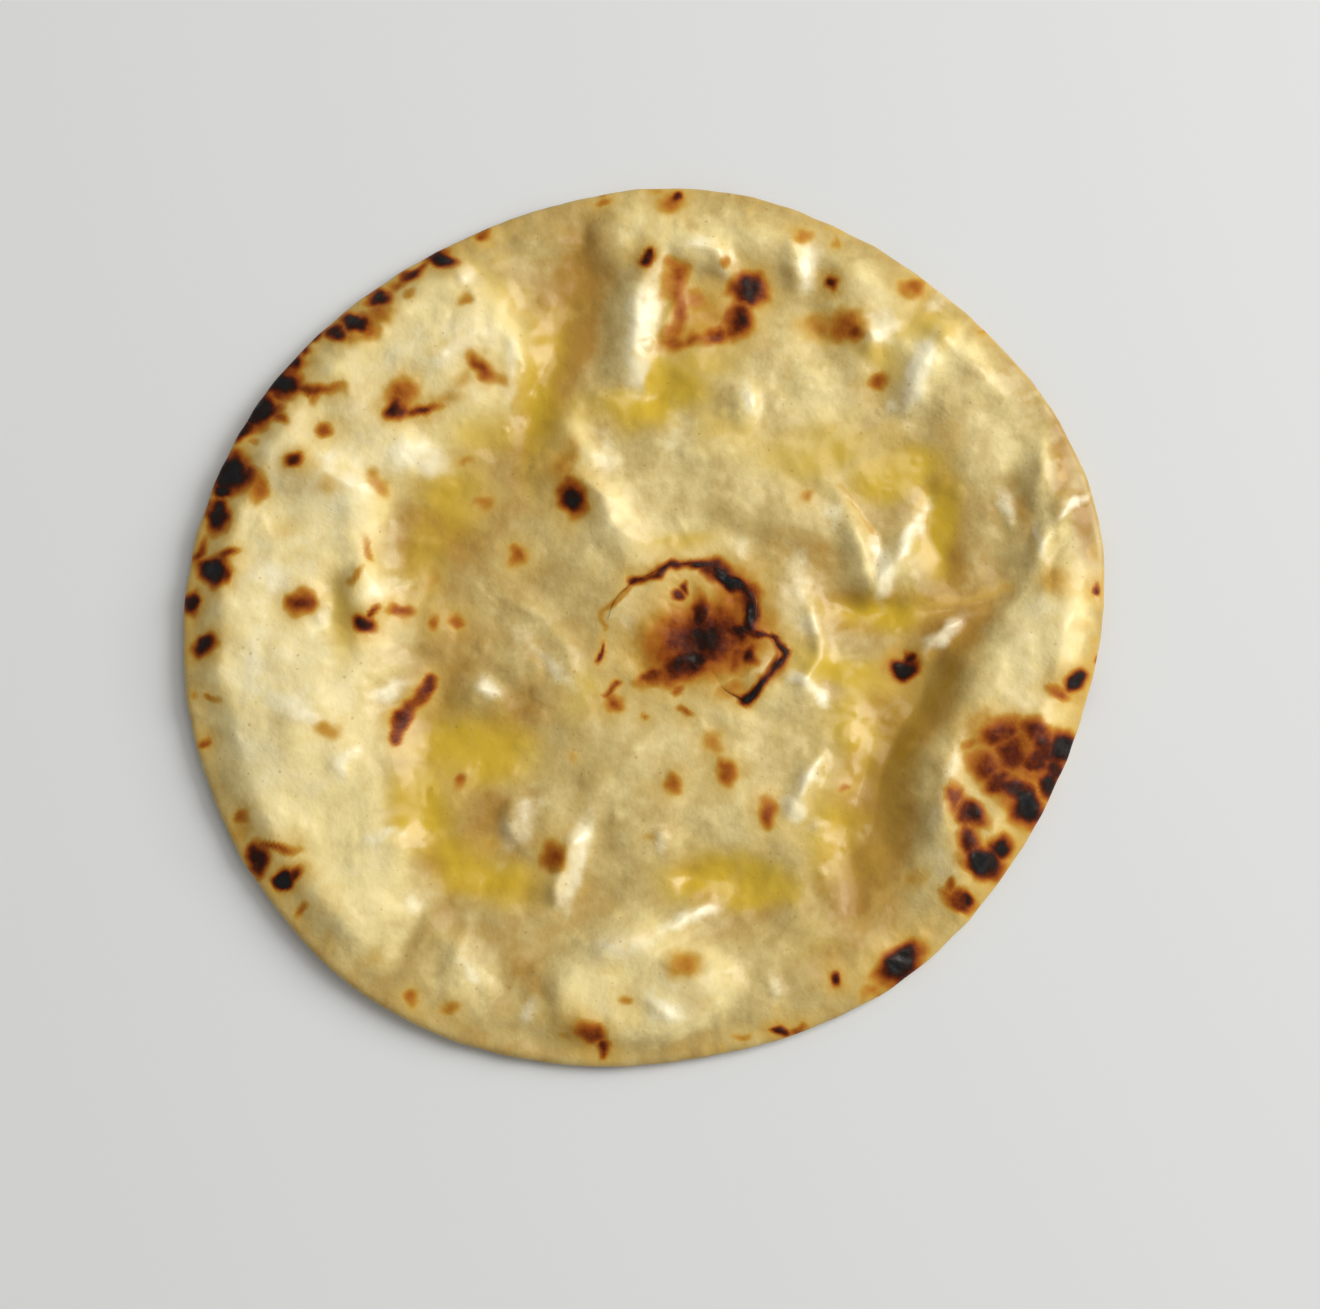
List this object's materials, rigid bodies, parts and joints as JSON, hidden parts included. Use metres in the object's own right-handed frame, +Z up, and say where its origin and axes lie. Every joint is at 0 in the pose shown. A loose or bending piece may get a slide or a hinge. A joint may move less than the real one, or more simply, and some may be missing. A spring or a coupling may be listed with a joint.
{
  "type": "chapati flatbread",
  "caption": "Round rolled wheat flatbread with a puffed, wrinkled upper skin, scorched spots and a flat underside.",
  "frame": {"origin": "middle of the bread's plan, on the surface that it lies on", "axes": "+Z up out of the bread's upper skin, +Y away from the viewer, +X to the viewer's right"},
  "size_m": [0.191, 0.1836, 0.0111],
  "materials": {
    "crust": "soft baked wheat dough, pale cream with brown and black scorch marks and a thin film of butter"
  },
  "bodies": {
    "root": {"chapati": "crust"}
  },
  "joints": []
}
